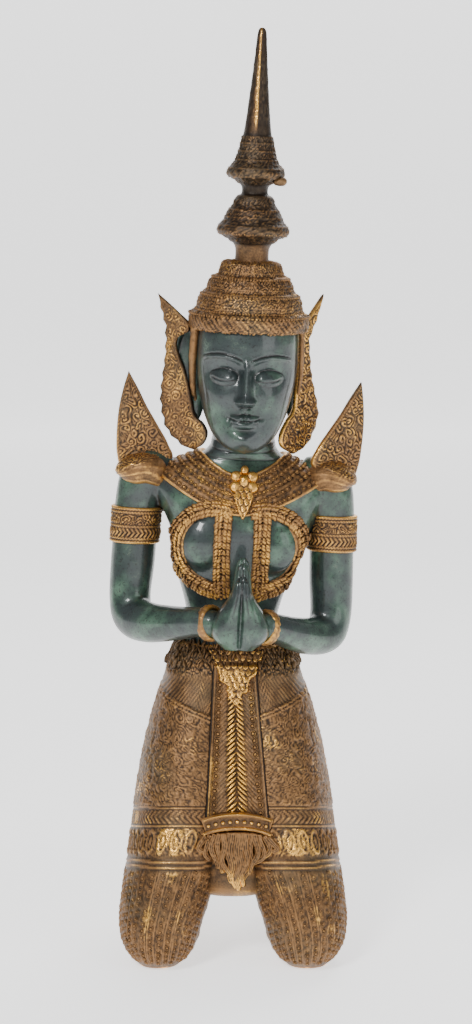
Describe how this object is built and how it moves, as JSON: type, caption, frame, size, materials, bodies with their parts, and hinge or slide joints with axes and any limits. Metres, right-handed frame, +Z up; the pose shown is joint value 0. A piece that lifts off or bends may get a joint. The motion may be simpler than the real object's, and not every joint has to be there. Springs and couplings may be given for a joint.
{
  "type": "kneeling temple guardian statue",
  "caption": "Cast bronze guardian kneeling in prayer under a tall tiered spire crown, with flame ornaments, broad collar, crossed harness and patterned wrap.",
  "frame": {"origin": "centre of the outer box in plan, on the surface that the knees and toes rest on", "axes": "+Z up towards the crown's tip, the figure faces -Y, +X is the side of its left arm"},
  "size_m": [0.2144, 0.1998, 0.7561],
  "materials": {
    "gilded_bronze": "old gilding over dark bronze, rubbed bright on high relief",
    "verdigris_skin": "green patina, waxed, with dark slate patches"
  },
  "bodies": {
    "root": {"kneeling_guardian": "gilded_bronze"}
  },
  "joints": []
}
